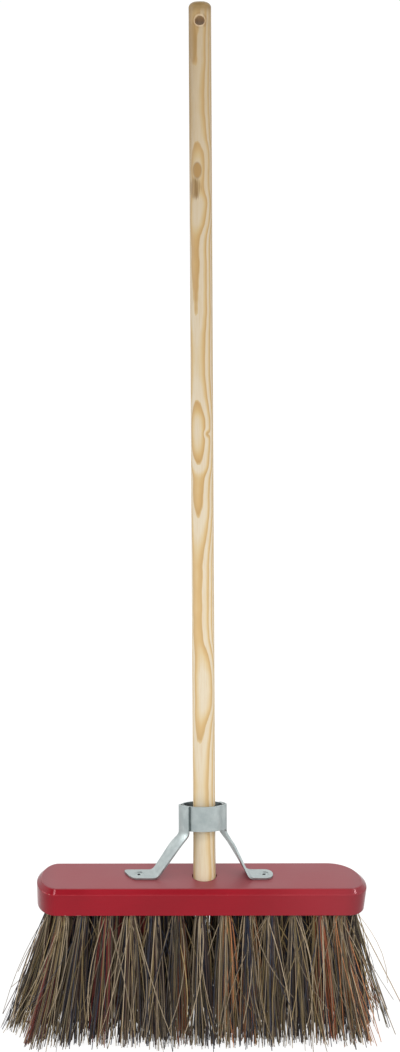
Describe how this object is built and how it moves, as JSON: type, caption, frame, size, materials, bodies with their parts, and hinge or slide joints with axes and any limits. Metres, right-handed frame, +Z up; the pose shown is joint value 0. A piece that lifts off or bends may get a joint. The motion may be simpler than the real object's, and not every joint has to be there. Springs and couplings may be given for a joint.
{
  "type": "yard broom",
  "caption": "Yard broom: red painted round-ended stock with splayed fibre tufts, leaning pine handle with hanging hole, and a lapped steel stay from stock to handle.",
  "frame": {"origin": "on the floor that the bristle tips stand on, at the centre of the whole broom's footprint in plan", "axes": "+Z up; +X along the stock to the right as seen from its front; +Y to the sweeper's side, where the handle leans back; -Y is the front"},
  "size_m": [0.3826, 0.3246, 0.9947],
  "materials": {
    "red_paint": "gloss",
    "pine": "satin",
    "zinc_plated_steel": "satin",
    "screw_steel": "satin",
    "bristle_fibre": "matte"
  },
  "bodies": {
    "root": {"foot_screw_left": "screw_steel", "foot_screw_right": "screw_steel", "handle": "pine", "stay_left": "zinc_plated_steel", "stay_right": "zinc_plated_steel", "stock": "red_paint", "tuft_row1_01": "bristle_fibre", "tuft_row1_02": "bristle_fibre", "tuft_row1_03": "bristle_fibre", "tuft_row1_04": "bristle_fibre", "tuft_row1_05": "bristle_fibre", "tuft_row1_06": "bristle_fibre", "tuft_row1_07": "bristle_fibre", "tuft_row1_08": "bristle_fibre", "tuft_row1_09": "bristle_fibre", "tuft_row1_10": "bristle_fibre", "tuft_row1_11": "bristle_fibre", "tuft_row1_12": "bristle_fibre", "tuft_row1_13": "bristle_fibre", "tuft_row2_01": "bristle_fibre", "tuft_row2_02": "bristle_fibre", "tuft_row2_03": "bristle_fibre", "tuft_row2_04": "bristle_fibre", "tuft_row2_05": "bristle_fibre", "tuft_row2_06": "bristle_fibre", "tuft_row2_07": "bristle_fibre", "tuft_row2_08": "bristle_fibre", "tuft_row2_09": "bristle_fibre", "tuft_row2_10": "bristle_fibre", "tuft_row2_11": "bristle_fibre", "tuft_row2_12": "bristle_fibre", "tuft_row3_01": "bristle_fibre", "tuft_row3_02": "bristle_fibre", "tuft_row3_03": "bristle_fibre", "tuft_row3_04": "bristle_fibre", "tuft_row3_05": "bristle_fibre", "tuft_row3_06": "bristle_fibre", "tuft_row3_07": "bristle_fibre", "tuft_row3_08": "bristle_fibre", "tuft_row3_09": "bristle_fibre", "tuft_row3_10": "bristle_fibre", "tuft_row3_11": "bristle_fibre", "tuft_row3_12": "bristle_fibre", "tuft_row4_01": "bristle_fibre", "tuft_row4_02": "bristle_fibre", "tuft_row4_03": "bristle_fibre", "tuft_row4_04": "bristle_fibre", "tuft_row4_05": "bristle_fibre", "tuft_row4_06": "bristle_fibre", "tuft_row4_07": "bristle_fibre", "tuft_row4_08": "bristle_fibre", "tuft_row4_09": "bristle_fibre", "tuft_row4_10": "bristle_fibre", "tuft_row4_11": "bristle_fibre", "tuft_row4_12": "bristle_fibre"}
  },
  "joints": []
}
